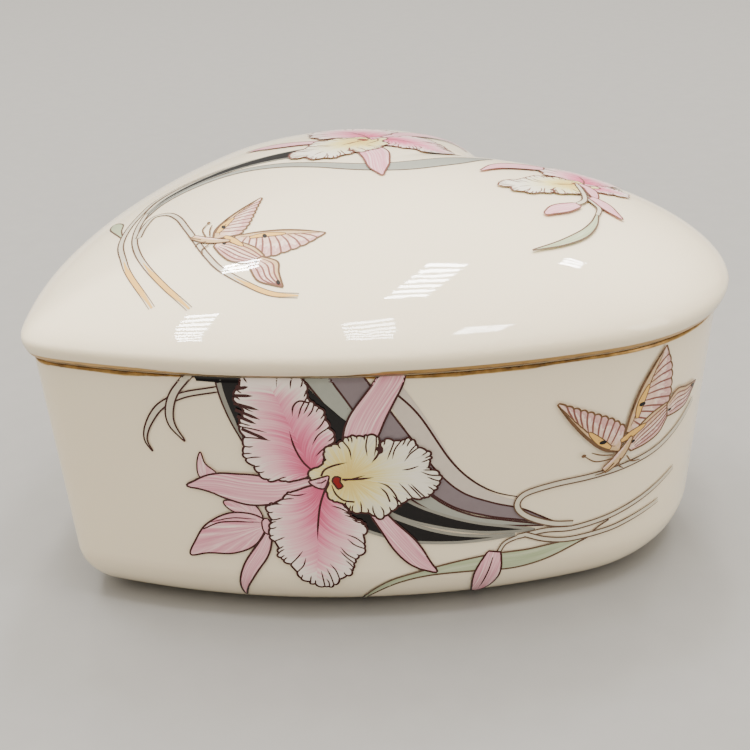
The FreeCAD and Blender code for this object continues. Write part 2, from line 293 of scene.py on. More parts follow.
def left_normals(path, closed=False):
    if closed:
        ahead = np.roll(path, -1, axis=0) - np.roll(path, 1, axis=0)
    else:
        ahead = np.gradient(path, axis=0)
    ahead /= np.maximum(np.hypot(*ahead.T), 1e-9)[:, None]
    return np.column_stack([-ahead[:, 1], ahead[:, 0]])


def inside(points, outline):
    """Which points lie inside a closed outline."""
    x, y = points[:, 0, None], points[:, 1, None]
    x0, y0 = outline.T
    x1, y1 = np.roll(outline, -1, axis=0).T
    spans = (y0 > y) != (y1 > y)
    rise = np.where(y1 == y0, 1e-12, y1 - y0)
    return (spans & (x < (x1 - x0) * (y - y0) / rise + x0)).sum(axis=1) % 2 == 1


def edge_distance(points, outline):
    """Distance in mm from each point to the nearest part of a closed outline."""
    start, step = outline, np.roll(outline, -1, axis=0) - outline
    reach = points[:, None, :] - start
    t = (reach * step).sum(-1) / np.maximum((step**2).sum(-1), 1e-12)
    gap = reach - np.clip(t, 0, 1)[..., None] * step
    return np.sqrt((gap**2).sum(-1)).min(axis=1)


def frilled(points, root, pitch, depth, seed, calm=3.0):
    """A smooth closed outline with small torn scallops, and the notches between them.

    There are none within calm mm of the root.
    """
    draw = random.Random(seed)
    path = smooth(points, closed=True, gap=FRILL_GAP)
    area = np.sum(path[:, 0] * np.roll(path[:, 1], -1) - np.roll(path[:, 0], -1) * path[:, 1])
    along = lengths_along(path)
    cuts = [0.0]
    while cuts[-1] < along[-1]:
        cuts.append(cuts[-1] + pitch * draw.uniform(*FRILL_PITCHES))
    cuts = np.array(cuts) * along[-1] / cuts[-1]
    heights = [depth * draw.uniform(*FRILL_HEIGHTS) for _ in cuts]
    swell = np.zeros(len(path))
    for low, high, height in zip(cuts, cuts[1:], heights):
        own = (along >= low) & (along <= high)
        lean = ((along[own] - low) / (high - low)) ** 0.75
        swell[own] = height * np.sin(np.pi * lean) ** 0.5 - 0.4 * depth
    phase = draw.uniform(0, 1)
    waves = max(3, round(along[-1] / (pitch * FRILL_WAVE[0])))
    swell += FRILL_WAVE[1] * depth * np.sin(2 * np.pi * (waves * along / along[-1] + phase))
    far = np.hypot(*(path - root).T)
    swell *= np.clip((far - calm) / FRILL_GROWTH, 0, 1)
    out = path - left_normals(path, closed=True) * (swell * np.sign(area))[:, None]
    at = [int(np.argmin(abs(along - cut))) for cut in cuts[1:-1]]
    return out, [out[i] for i in at if far[i] > calm + 2]


def blade(spine, widths):
    """A leaf-like outline: half widths in mm spread evenly along a smooth spine."""
    path = smooth(spine, gap=0.5)
    share = lengths_along(path) / lengths_along(path)[-1]
    half = np.interp(share, np.linspace(0, 1, len(widths)), widths)
    half = np.convolve(np.pad(half, 3, mode="edge"), np.ones(7) / 7, mode="valid")
    half[0], half[-1] = widths[0], widths[-1]
    side = left_normals(path) * half[:, None]
    left, right = path + side, path - side
    return np.vstack([left, right[::-1]]), path


def resampled(path, count):
    along = lengths_along(path)
    even = np.linspace(0, along[-1], count)
    return np.column_stack([np.interp(even, along, path[:, axis]) for axis in (0, 1)])


# ---- glazed surfaces that take print

SLOPE_REACH = 0.8  # mm to each side of a point, over which the surface's slope is taken
HEART = (0.0, 10.0)  # mm, a point that sees the whole outline
OUTSIDE = 90.0  # mm from there, beyond the wall all round
RIM_DEPTH = 3.0  # mm below the rim, where the wall's outline is taken
RAY_START = 20.0  # mm outside the wall
BEARINGS = np.radians(np.arange(-100.0, 85.0))  # round HEART, from past the tip by +X
TIP_BEARING = math.radians(-90)


def mesh_tree(names):
    """A search tree over the faces of some CAD nodes."""
    spots, faces = [], []
    for name in names:
        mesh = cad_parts[name].data
        faces += [[len(spots) + i for i in polygon.vertices] for polygon in mesh.polygons]
        spots += [vertex.co for vertex in mesh.vertices]
    return BVHTree.FromPolygons(spots, faces)


class Surface:
    """A CAD surface as a smooth map from flat mm to a point and a normal on the glaze.

    ray gives the start and the aim of a flat point's ray; blur is a reach in mm for each axis.
    """

    def __init__(self, names, low, high, step, ray, blur):
        tree = mesh_tree(names)
        self.low, self.step, self.ray = np.array(low, float), step, ray
        counts = [int(math.ceil((end - start) / step)) + 1 for start, end in zip(low, high)]
        depth = np.full(counts, np.nan)
        for i, j in np.ndindex(*counts):
            start, aim = ray(low[0] + i * step, low[1] + j * step)
            hit = tree.ray_cast(Vector(start) * MM, Vector(aim))
            if hit[0] is not None:
                depth[i, j] = hit[3] / MM
        self.depth = self.blurred(depth, [reach / step for reach in blur])

    @staticmethod
    def blurred(grid, spreads):
        """The grid without the facets of its mesh; spreads are in cells, one for each axis."""
        known = np.isfinite(grid).astype(float)
        total = np.where(known > 0, np.nan_to_num(grid), 0)
        for axis, spread in enumerate(spreads):
            reach = int(3 * spread) + 1
            weights = np.exp(-0.5 * (np.arange(-reach, reach + 1) / spread) ** 2)
            total = np.apply_along_axis(np.convolve, axis, total, weights, "same")
            known = np.apply_along_axis(np.convolve, axis, known, weights, "same")
        return total / np.maximum(known, 1e-9)

    def spots(self, flat):
        at = (flat - self.low) / self.step
        cell = np.clip(np.floor(at).astype(int), 0, np.array(self.depth.shape) - 2)
        (i, j), (u, v) = cell.T, (at - cell).T
        grid = self.depth
        depth = (grid[i, j] * (1 - u) * (1 - v) + grid[i + 1, j] * u * (1 - v)
                 + grid[i, j + 1] * (1 - u) * v + grid[i + 1, j + 1] * u * v)
        rays = [self.ray(*spot) for spot in flat]
        starts = np.array([start for start, _ in rays])
        aims = np.array([aim for _, aim in rays])
        return starts + aims * depth[:, None]

    def place(self, flat, lift):
        """Points a lift above the glaze, and the outward normals there, for flat points."""
        east, north = (self.spots(flat + step) - self.spots(flat - step)
                       for step in np.eye(2) * SLOPE_REACH)
        normals = np.cross(east, north)
        normals /= np.linalg.norm(normals, axis=1)[:, None]
        return self.spots(flat) + normals * lift, normals


def rim_outline():
    """The base's wall near its rim, from past the tip by +X: lengths from the tip, points, normals."""
    tree = mesh_tree(["box_body"])
    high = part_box("box_body")[1].z / MM - RIM_DEPTH
    points = []
    for bearing in BEARINGS:
        aim = Vector((-math.cos(bearing), -math.sin(bearing), 0))
        hit = tree.ray_cast((Vector((*HEART, high)) - aim * OUTSIDE) * MM, aim)
        points.append((hit[0].x / MM, hit[0].y / MM))
    points = np.array(points)
    for axis in (0, 1):
        points[2:-2, axis] = np.convolve(points[:, axis], np.ones(5) / 5, mode="valid")
    along = lengths_along(points)
    return along - np.interp(TIP_BEARING, BEARINGS, along), points, -left_normals(points)


def base_surface():
    """The base's wall by (length round it from the tip, height), in mm."""
    along, points, normals = rim_outline()

    def ray(s, z):
        x, y, nx, ny = (np.interp(s, along, column) for column in (*points.T, *normals.T))
        return (x + nx * RAY_START, y + ny * RAY_START, z), (-nx, -ny, 0)

    return Surface(("box_body", "box_gilt_band"), (-8, 0.2), (125, 41.2), 0.25, ray, (1.2, 0.12))


def lid_surface():
    """The lid's crown in plan."""
    def ray(x, y):
        return (x, y, 100.0), (0, 0, -1)

    return Surface(("lid",), (-56, -52), (56, 52), 1.0, ray, (1.5, 1.5))


# ---- the prints

PRINT_LIFT = 0.055  # mm, the first layer above the glaze
LAYER_LIFT = 0.008  # mm, each later layer above the one before
LINE_RISE = {"outline": 0.7, "wing_edge": 0.7, "stem": 0.0}  # layers, of lines above the last fill
PLAIN_RISE = 0.4  # the same, for lines in the other inks
MESH_GAP = 0.9  # mm, between points inside a filled shape
MESH_MARGIN = 0.35  # gaps that they keep from its outline
RIM_DROPS = (0.1, 0.22, 0.36, 0.52, 0.72)  # mm, closer rows below the limit, over the rim's round
RIM_MARGIN = 0.08  # mm that those keep from the outline
PATCH_ROWS = 8  # of points, from one curve of a patch to the other
TAPER = 0.3  # share of a line over which it tapers
WALL_LIMIT = 41.05  # mm, the height where the base's print stops, on the rim's round


def below(outline, limit):
    """The part of a closed outline under a height."""
    kept = []
    for start, end in zip(outline, np.roll(outline, -1, axis=0)):
        if start[1] <= limit:
            kept.append(start)
        if (start[1] <= limit) != (end[1] <= limit):
            kept.append(start + (end - start) * (limit - start[1]) / (end[1] - start[1]))
    return np.array(kept).reshape(-1, 2)


def within(points, outline, margin):
    """The points inside a closed outline that are at least a margin from it."""
    if len(points):
        points = points[inside(points, outline)]
    if len(points):
        points = points[edge_distance(points, outline) > margin]
    return points


class Decal:
    """Ink shapes laid on a glazed surface in painter's order, one mesh for each ink.

    Each point's "art" is two shading coordinates in its shape, and its depth in mm from the edge.
    """

    def __init__(self, surface, prefix, body, slot, limit=None):
        self.surface, self.prefix, self.body, self.slot = surface, prefix, body, slot
        self.limit = limit
        self.layer = 0
        self.inks = {}
        self.turn_to()

    def turn_to(self, pivot=(0, 0), place=(0, 0), degrees=0, scale=(1.0, 1.0)):
        """Scales and turns later shapes about a pivot, which goes to a place; or sets them back."""
        angle = math.radians(degrees)
        self.pivot, self.spot = np.array(pivot, float), np.array(place, float)
        self.turn = np.diag(scale) @ np.array([
            [math.cos(angle), math.sin(angle)], [-math.sin(angle), math.cos(angle)]])

    def flat(self, points):
        return (np.asarray(points, float) - self.pivot) @ self.turn + self.spot

    def add(self, ink, points, faces, art, above=0.0):
        placed = self.flat(points)
        if self.limit is not None:
            faces = [face for face in faces if placed[list(face), 1].min() < self.limit]
            placed[:, 1] = np.minimum(placed[:, 1], self.limit)
        used = sorted({i for face in faces for i in face})
        if not used:
            return
        index = {old: new for new, old in enumerate(used)}
        lift = PRINT_LIFT + LAYER_LIFT * (self.layer + above)
        spots, normals = self.surface.place(placed[used], lift)
        *columns, made = self.inks.setdefault(ink, ([], [], [], []))
        start = sum(map(len, columns[0]))
        for column, values in zip(columns, (spots, normals, np.asarray(art)[used])):
            column.append(values)
        for face in faces:
            a, b, c = (placed[i] for i in face[:3])
            turned = (b[0] - a[0]) * (c[1] - a[1]) - (b[1] - a[1]) * (c[0] - a[0])
            order = [start + index[i] for i in face]
            made.append(order if turned > 0 else order[::-1])

    def fill(self, ink, outline, art=None):
        """Fills a closed outline; art(points) gives the two shading coordinates."""
        self.layer += 1
        outline = np.asarray(outline, float)
        if self.limit is not None:
            outline = below(outline, self.limit)
            if len(outline) < 3:
                return
        low, high = outline.min(axis=0), outline.max(axis=0)
        rows = np.arange(low[1] + MESH_GAP / 2, high[1], MESH_GAP)
        columns = np.arange(low[0] + MESH_GAP / 2, high[0], MESH_GAP)
        lattice = np.array([(x + (k % 2) * MESH_GAP / 2, y)
                            for k, y in enumerate(rows) for x in columns]).reshape(-1, 2)
        lattice = within(lattice, outline, MESH_GAP * MESH_MARGIN)
        if self.limit is not None and high[1] == self.limit:
            near = np.array([(x, self.limit - drop) for drop in RIM_DROPS for x in columns])
            lattice = np.vstack([lattice, within(near.reshape(-1, 2), outline, RIM_MARGIN)])
        points = np.vstack([outline, lattice])
        count = len(outline)
        edges = [(i, (i + 1) % count) for i in range(count)]
        made = delaunay_2d_cdt([Vector(point) for point in points], edges, [], 1, 1e-4)
        points = np.array([tuple(point) for point in made[0]])
        shading = art(points) if art else np.zeros((len(points), 2))
        depth = edge_distance(points, outline)
        self.add(ink, points, [tuple(face) for face in made[2]], np.column_stack([shading, depth]))

    def line(self, ink, path, width, taper=(1.0, 1.0), closed=False):
        """A stroke along a path, its width in mm; taper is the share of it at start and end."""
        path = np.asarray(path, float)
        side = left_normals(path, closed)
        share = lengths_along(path)
        share = share / max(share[-1], 1e-9)
        if closed:
            half = np.full(len(path), width / 2)
        else:
            grow, fall = np.clip(share / TAPER, 0, 1), np.clip((1 - share) / TAPER, 0, 1)
            half = width / 2 * np.minimum(taper[0] + (1 - taper[0]) * grow,
                                          taper[1] + (1 - taper[1]) * fall)
        points = np.vstack([path + side * half[:, None], path - side * half[:, None]])
        count = len(path)
        last = count if closed else count - 1
        faces = [(i, (i + 1) % count, count + (i + 1) % count, count + i) for i in range(last)]
        sides = np.repeat([1.0, -1.0], count)
        art = np.column_stack([np.tile(share, 2), sides, np.zeros(2 * count)])
        self.add(ink, points, faces, art, LINE_RISE.get(ink, PLAIN_RISE))

    def patch(self, ink, lead, trail):
        """Fills between two curves with the same count of points; art is (along, across)."""
        self.layer += 1
        rows, count = PATCH_ROWS, len(lead)
        across = np.linspace(0, 1, rows)
        points = np.vstack([lead + (trail - lead) * share for share in across])
        along = np.tile(np.linspace(0, 1, count), rows)
        art = np.column_stack([along, np.repeat(across, count), np.zeros(count * rows)])
        faces = [(k * count + i, k * count + i + 1, (k + 1) * count + i + 1, (k + 1) * count + i)
                 for k in range(rows - 1) for i in range(count - 1)]
        self.add(ink, points, faces, art)

    def outlined(self, ink, outline, art=None, edge="outline", width=0.34):
        self.fill(ink, outline, art)
        self.line(edge, outline, width, closed=True)

    def shape(self, ink, points, art=None, edge="outline", width=0.24):
        self.outlined(ink, smooth(points, closed=True), art, edge, width)

    def strokes(self, *strokes, ink="outline"):
        """Lines along smooth curves, each as (points, width, taper)."""
        for points, width, taper in strokes:
            self.line(ink, smooth(points), width, taper)

    def build(self, materials):
        for ink, (*columns, faces) in self.inks.items():
            spots, normals, art = (np.vstack(column) for column in columns)
            mesh = bpy.data.meshes.new(f"{self.prefix}_{ink}")
            mesh.from_pydata((spots * MM).tolist(), [], faces)
            shading = mesh.attributes.new("art", "FLOAT_VECTOR", "POINT")
            shading.data.foreach_set("vector", art.astype(np.float32).ravel())
            mesh.shade_smooth()
            mesh.normals_split_custom_set_from_vertices(normals.tolist())
            mesh.materials.append(materials[ink])
            piece = bpy.data.objects.new(mesh.name, mesh)
            bpy.context.scene.collection.objects.link(piece)
            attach(piece, self.body)


# ---- flowers and leaves

# All but the lid's own leaves and stems are drawn in mm on the base's wall: the length round it
# from the tip by +X, and the height.

THROAT = (43.0, 25.0)  # where the bloom's lip leaves its column
PETAL_ROOT = (39.8, 26.2)  # where its upper petal starts
BUTTERFLY = (85.0, 25.0)  # the middle of the butterfly's body
FRILL_PITCH, FRILL_DEPTH = 1.05, 0.42  # of a ruffled petal's scallops
STROKES = (0.25, 0.4, 0.6, 1.0, 1.7)  # lengths of a fringe's strokes, shares of its reach
CELL_POINTS = 8  # points along each cell of a wing
SCALLOP = 0.3  # how far a wing's trailing edge swells between veins
RING = np.array([(math.cos(a), math.sin(a)) for a in np.linspace(0, 2 * math.pi, 11)[:-1]])


def about(centre, reach, turn=0.0):
    """Shading coordinates: share of a reach from a centre, and the bearing round it."""
    def art(points):
        step = points - np.asarray(centre)
        bearing = np.arctan2(step[:, 1], step[:, 0]) - math.radians(turn)
        bearing = (bearing + math.pi) % (2 * math.pi) - math.pi
        return np.column_stack([np.hypot(*step.T) / reach, bearing])
    return art


def beside(spine, width):
    """Shading coordinates: share along a spine, and the offset from it in widths."""
    share = lengths_along(spine) / lengths_along(spine)[-1]
    side = left_normals(spine)

    def art(points):
        step = points[:, None, :] - spine
        near = (step**2).sum(-1).argmin(axis=1)
        off = (step[np.arange(len(points)), near] * side[near]).sum(-1)
        return np.column_stack([share[near], off / width])
    return art


def leaf(decal, ink, spine, widths, edge="outline", width=0.32, vein=False):
    """A leaf or a narrow petal, by its spine and half widths, with an edge line of a width."""
    outline, path = blade(spine, widths)
    decal.fill(ink, outline, beside(path, max(widths)))
    if edge:
        decal.line(edge, outline, width, closed=True)
    if vein:
        decal.line(edge, path[2:-6], width * 0.8, (0.6, 0))


def stem(decal, points, width):
    """A pale stem between two thin lines."""
    path = smooth(points)
    decal.layer += 1
    decal.line("stem", path, width, (1, 0.5))
    side = left_normals(path) * width / 2
    for edge in (side, -side):
        decal.line("stem_line", path + edge, 0.24, (1, 0.4))


def fringe(decal, notches, root, reach, seed):
    """Short dark strokes from an outline's notches, slanting in to the midrib."""
    draw = random.Random(seed)
    root = np.asarray(root, float)
    axis = np.mean(notches, axis=0) - root
    axis /= np.hypot(*axis)
    for notch in notches:
        rib = root + axis * max(0.0, (notch - root) @ axis) * 0.6
        inward = (rib - notch) / max(np.hypot(*(rib - notch)), 1e-6)
        length = min(reach * draw.choice(STROKES), 0.6 * np.hypot(*(rib - notch)))
        bend = np.array([-inward[1], inward[0]]) * draw.uniform(-0.1, 0.1) * length
        middle, end = notch + inward * length * 0.5 + bend, notch + inward * length
        decal.line("outline", smooth([notch, middle, end], gap=0.2), 0.22, (1, 0.15))


def ruffled_petal(decal, points, root, seed, reach, turn):
    """A broad petal; its fringe has a reach in mm, and its midrib runs at turn degrees."""
    outline, notches = frilled(points, root, FRILL_PITCH, FRILL_DEPTH, seed)
    length = np.hypot(*(outline - root).T).max()
    decal.outlined("petal", outline, about(root, length, turn))
    fringe(decal, notches, root, reach, seed + 1)


def narrow_petals(decal):
    """The big bloom's three narrow petals, which the others overlap."""
    leaf(decal, "sepal", [(45.4, 29), (47.2, 34.2), (49.4, 38.2), (51.6, 41.8), (53.2, 45)],
         [1.8, 2.5, 2.1, 1.7, 0.1])
    leaf(decal, "sepal", [(48.4, 19.5), (50, 17), (52.2, 13.8), (54.6, 10.6), (57, 8.5)],
         [1.0, 1.3, 1.8, 1.5, 0.1])
    fold = [(23.3, 25.2), (23.2, 27.5), (23.9, 29.3), (24.4, 27.4), (25.9, 25.9), (25.2, 24.6)]
    decal.shape("sepal", fold, about((24, 24), 5), width=0.22)
    leaf(decal, "sepal", [(40.4, 25.0), (35.5, 23.5), (30.5, 23.4), (25.2, 24.1), (21.2, 23.5)],
         [0.7, 1.8, 2.7, 2.0, 0.1])


def upper_petal(decal):
    """The broad petal at the upper left, with a few folds and its torn edge."""
    upper = [(40.4, 26.6), (41.6, 29.6), (42.7, 32.4), (41.9, 35.2), (40.4, 37.6), (39.2, 40),
             (37.6, 42.8), (34, 43.5), (31, 42), (29.9, 38.4), (30.5, 35.6), (30.3, 32.6),
             (30.5, 28.8), (32.7, 25.8), (36.4, 25)]
    ruffled_petal(decal, upper, PETAL_ROOT, seed=4, reach=2.2, turn=110)
    decal.strokes(([(36.8, 33.4), (37.3, 30.8), (38.3, 28.4), (39.6, 26.8)], 0.3, (0, 1)),
                  ([(37.4, 35.4), (37.6, 37), (38.5, 37.9), (39.8, 37.6)], 0.28, (0, 1)))
    # Its torn edge lets the dark leaf behind show between the feathers.
    for tear in ([(29.5, 38.6), (32.3, 38.6)], [(29.5, 37.4), (33, 36.4)], [(29.6, 36.4), (33, 34.9)],
                 [(29.8, 35.4), (32.4, 34.2)], [(30.2, 33.4), (34, 31.6)], [(30, 39.6), (31.8, 40)]):
        decal.strokes((tear, 0.5, (1, 0)))


def lower_petal(decal):
    lower = [(40.2, 24.4), (37, 23.4), (33.6, 21.2), (32.9, 17.6), (33.5, 13.8), (35.4, 10.4),
             (38.8, 6.9), (42.6, 7.6), (45.4, 11.6), (46.7, 16.2), (44.6, 19.6), (42.1, 22.8)]
    ruffled_petal(decal, lower, (40.6, 24.2), seed=9, reach=1.8, turn=-95)
    decal.strokes(([(41.2, 23.6), (40.4, 21), (39.9, 17.6), (39.7, 14.8)], 0.32, (1, 0)))


def lip_and_throat(decal):
    lip = [(39, 25.4), (39.3, 26.6), (40.6, 27.5), (41.5, 28.9), (41.9, 30.2), (43.1, 31.3),
           (45.4, 32), (47.6, 32.5), (48.9, 31.5), (49.2, 29.6), (50.1, 31.5), (52.6, 31.3),
           (55.5, 29.4), (55.7, 27.5), (57, 25.2), (57, 23), (54.2, 21.6), (51.5, 21), (50.6, 19.5),
           (48.2, 19), (45.7, 19.8), (42.9, 21.4), (41.4, 23.4), (41.7, 25)]
    outline, notches = frilled(lip, (43, 25.5), 0.9, 0.4, seed=21, calm=1.5)
    decal.outlined("lip", outline, about((44.6, 25.6), 11.5))
    fringe(decal, [spot for spot in notches if spot[0] > 43], (46, 26), 1.9, seed=22)
    # Its folds, then the two lines that lead out of the throat.
    decal.strokes(
        ([(49.1, 30.4), (48.8, 29.2), (47.9, 27.9)], 0.34, (1, 0)),
        ([(40.8, 25.9), (41.3, 26.9), (42.6, 27.6), (44.6, 28.1)], 0.32, (1, 0)),
        ([(42.2, 24.4), (42.7, 22.9), (43.8, 21.8), (45.3, 21.5)], 0.28, (0.4, 1)),
        ([(48.6, 24.7), (50, 24), (51, 22.6), (51.5, 21.2)], 0.26, (0, 1)),
        ([(48.9, 23.9), (49.8, 22.8), (50.3, 21.3)], 0.26, (0, 1)),
        ([(52, 26.5), (53.2, 26.6), (54.4, 27)], 0.24, (0, 0.4)),
        ([(43.7, 25.3), (46, 25.3), (48.2, 25.5)], 0.34, (1, 0)),
        ([(44, 25.1), (45.6, 25.5), (47, 25.9)], 0.22, (1, 0)),
    )
    throat = [(42.3, 25.1), (42.7, 25.8), (43.5, 25.6), (43.4, 24.9), (43.8, 24.2), (43.1, 23.7),
              (42.7, 24.3)]
    decal.shape("throat", throat, width=0.26)
    # The column, folded once.
    column = [(39, 25), (40, 25.4), (41.2, 25.8), (41.9, 25.9), (41.6, 24.7), (41.1, 23.8),
              (39.9, 24.1)]
    decal.shape("sepal", column, about((39, 20), 3), width=0.28)
    decal.strokes(([(41.5, 25.3), (40.8, 24.8), (39.9, 24.8)], 0.22, (1, 0.2)))


def half_open_bloom(decal):
    """The smaller bloom at the lower left, with its two narrow sepals."""
    leaf(decal, "sepal", [(32.7, 16), (31.4, 12.9), (29.4, 9.6), (28.1, 6.4), (27.7, 3.5)],
         [0.5, 1.2, 1.2, 0.8, 0.05])
    bract = [(26.4, 21.2), (27.6, 19.6), (31.8, 18.4), (31, 20.8), (28.6, 21.4)]
    decal.shape("sepal", bract, about((31, 19), 5))
    petal = [(32.4, 17.6), (30.6, 19.2), (27, 19.2), (23.4, 17), (21.4, 14), (20.3, 11.3),
             (23.2, 11.9), (27.2, 12.2), (30.6, 14)]
    decal.shape("sepal", petal, about((32.4, 17.4), 13, 210), width=0.3)
    decal.strokes(([(22.8, 16.1), (26, 17.6), (31.6, 17.9)], 0.24, (1, 0.3)),
                  ([(24, 17.4), (27.4, 18.4), (31, 18.4)], 0.2, (0.3, 0.3)))
    knot = [(31.9, 16.4), (31.8, 18.1), (32.6, 18.6), (33.2, 17.2), (32.8, 15.8)]
    decal.shape("sepal", knot)


def wing(decal, lead, trail, cells, fan=False):
    """A wing between its leading and trailing edges, which both start at the body.

    The trailing edge is scalloped between veins; in a fan the veins run out from the body.
    """
    count = CELL_POINTS * cells + 1
    lead, trail = (resampled(smooth(edge, gap=0.2), count) for edge in (lead, trail))
    share = np.linspace(0, 1, count)
    if not fan:
        side = trail - lead
        side /= np.maximum(np.hypot(*side.T), 0.3)[:, None]
        swell = SCALLOP * np.abs(np.sin(np.pi * cells * share)) * (1 - share**6)
        trail = trail + side * swell[:, None]
    decal.patch("wing", lead, trail)
    rim = np.vstack([lead, trail[::-1]])
    if fan:
        for across in np.linspace(0, 1, cells + 1)[1:-1]:
            decal.line("wing_vein", (lead + (trail - lead) * across)[count // 8:], 0.26, (0.4, 1))
    else:
        for k in range(1, cells):
            start, end = int(count * (0.1 + 0.7 * (k / cells) ** 1.2)), CELL_POINTS * k
            inner = lead[start] + (trail[start] - lead[start]) * 0.22
            bend = (inner + trail[end]) / 2 + (lead[end] - inner) * 0.12
            decal.line("wing_vein", smooth([inner, bend, trail[end]]), 0.3, (0.5, 1))
        decal.line("wing_edge", lead[6:-6] + (trail - lead)[6:-6] * 0.2, 0.22, (0.5, 0.5))
        decal.line("wing_edge", lead, 0.5, (0.7, 0.5))
    decal.line("wing_edge", rim, 0.3, closed=True)


def butterfly(decal):
    """A swallowtail drawn in gold-brown line."""
    wing(decal, [(92.2, 30.2), (94.6, 32.2), (97.2, 31.8), (100.4, 31.6)],
         [(92.4, 28.4), (94.8, 28.3), (97.6, 28.7), (99.6, 30.6)], 5, fan=True)
    wing(decal, [(84.9, 28.2), (85.6, 31.4), (86.9, 34.9), (88.8, 38), (90.6, 40.3)],
         [(87, 27.4), (90, 29.4), (92.6, 31.2), (92.7, 34), (92.2, 37), (90.8, 40.3)], 11)
    wing(decal, [(85.4, 25.4), (86.6, 28), (89.4, 30), (92.4, 30.9)],
         [(86.2, 24.7), (89, 25.2), (91.4, 26.2), (92.9, 28.2)], 6, fan=True)
    wing(decal, [(84.2, 25), (81.4, 26), (78.6, 28.5), (76, 31.6), (73.9, 34.5)],
         [(84.8, 28.8), (82.6, 30.5), (79.6, 32), (76.8, 33.3), (74.2, 34.7)], 10)
    for spine in ([(82.6, 26), (80.8, 27.4), (79, 29.2)], [(86.6, 30), (87, 32.2), (88.2, 35)],
                  [(84.2, 26.8), (86, 27.6), (88.4, 28.6)]):
        leaf(decal, "gold", spine, [0.25, 0.75, 0.15], "wing_edge", 0.16)
    for spot, size in (((81.3, 27.2), 0.6), ((87.3, 32.1), 0.6), ((86.2, 26.3), 0.5),
                       ((99.2, 31.2), 0.5), ((93.2, 29.4), 0.4)):
        decal.fill("ebony", np.array(spot) + RING * (size, size * 0.55))
    leaf(decal, "wing", [(81.8, 22.4), (83.4, 23.6), (85, 25.4), (86, 27.2)], [0.5, 0.8, 0.7, 0.2],
         "wing_edge", 0.22)
    for feeler in ([(83.2, 24.2), (80.4, 24.2), (78.5, 25.4)], [(83, 24.8), (81, 25.2), (79.6, 25.8)],
                   [(83.4, 23.4), (82, 22.2), (80.4, 21.9)], [(85.4, 24.2), (86.4, 23), (88, 22.8)],
                   [(84.4, 24), (84.2, 22.8), (85, 22.2)]):
        decal.strokes((feeler, 0.24, (1, 0.6)), ink="wing_edge")
    decal.fill("wing_edge", np.array((78.4, 25.5)) + RING * (0.4, 0.3))


def stems(decal):
    """The stem pair and the looping stem that run out to the right under the butterfly."""
    for points, width in (
        ([(69, 13.2), (73.3, 13.6), (77.5, 13.2), (82, 13.7), (86, 14.6), (91, 16), (97, 18.1)], 0.8),
        ([(70.2, 13.4), (73.5, 12), (77.5, 11.3), (83.5, 11.7), (88, 12.5), (93.8, 13.6)], 0.8),
        ([(77.6, 14), (74.4, 14.6), (71.2, 16), (69.2, 17.6), (68.8, 19.2), (70.2, 20.6), (74.6, 21.4),
          (80, 21.7), (86, 22.4), (92, 23.6), (97, 25.9), (100.6, 28.4)], 0.9),
    ):
        stem(decal, points, width)
    decal.strokes(([(81, 11.9), (82, 12.6), (83.6, 13.4)], 0.3, (1, 1)), ink="stem_line")


